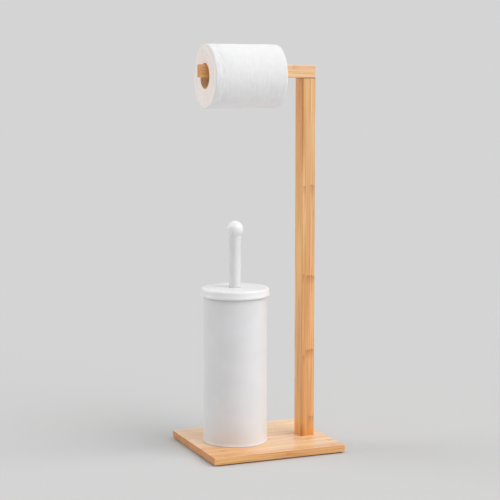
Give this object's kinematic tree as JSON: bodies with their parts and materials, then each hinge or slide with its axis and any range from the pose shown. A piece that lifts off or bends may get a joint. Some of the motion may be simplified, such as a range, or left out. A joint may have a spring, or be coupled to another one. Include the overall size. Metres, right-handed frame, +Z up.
{
  "type": "toilet roll and brush stand",
  "caption": "Free-standing bamboo stand with a post and arm for a toilet roll and a lidded white can that holds a toilet brush.",
  "frame": {"origin": "on the floor, under the centre of the base board", "axes": "+Z up, +X to the right along the board's long front edge, +Y towards the back"},
  "size_m": [0.23, 0.2, 0.6683],
  "materials": {
    "bamboo": "satin lacquered laminated bamboo",
    "beech_dowel": "plain turned wood",
    "screw_steel": "zinc plated",
    "pad_felt": "matt",
    "white_paint": "matt white powder coat",
    "bottom_paint": "matt white powder coat",
    "liner_plastic": "matt",
    "knob_paint": "satin white",
    "plug_plastic": "matt",
    "stem_steel": "satin",
    "washer_rubber": "matt",
    "hub_plastic": "matt",
    "bristle_nylon": "matt nylon",
    "core_card": "plain cardboard",
    "tissue": "soft embossed paper"
  },
  "bodies": {
    "stand": {"base_board": "bamboo", "post": "bamboo", "roll_arm": "bamboo", "lap_dowels": "beech_dowel", "post_screws": "screw_steel", "pad_front_left": "pad_felt", "pad_front_right": "pad_felt", "pad_back_left": "pad_felt", "pad_back_right": "pad_felt"},
    "holder": {"can_wall": "white_paint", "can_bottom": "bottom_paint", "drip_liner": "liner_plastic"},
    "lid": {"lid": "white_paint"},
    "brush": {"handle_tube": "white_paint", "handle_knob": "knob_paint", "handle_plug": "plug_plastic", "brush_stem": "stem_steel", "lid_washer": "washer_rubber", "brush_hub": "hub_plastic", "side_bristles": "bristle_nylon", "crown_bristles": "bristle_nylon"},
    "roll_core": {"roll_core": "core_card"},
    "paper": {"paper_roll": "tissue"}
  },
  "joints": [
    {"name": "holder_pull", "type": "slide", "parent": "stand", "child": "holder", "axis": [0, -1, 0], "range_m": [0, 0.15]},
    {"name": "lid_lift", "type": "slide", "parent": "holder", "child": "lid", "axis": [0, 0, 1], "range_m": [0, 0.17]},
    {"name": "brush_turn", "type": "hinge", "parent": "lid", "child": "brush", "pos_m": [-0.04, 0, 0.271], "axis": [0, 0, 1], "continuous": true},
    {"name": "core_slide_off", "type": "slide", "parent": "stand", "child": "roll_core", "axis": [-1, 0, 0], "range_m": [0, 0.14]},
    {"name": "roll_turn", "type": "hinge", "parent": "roll_core", "child": "paper", "pos_m": [0, -0.014, 0.61627], "axis": [1, 0, 0], "continuous": true}
  ]
}
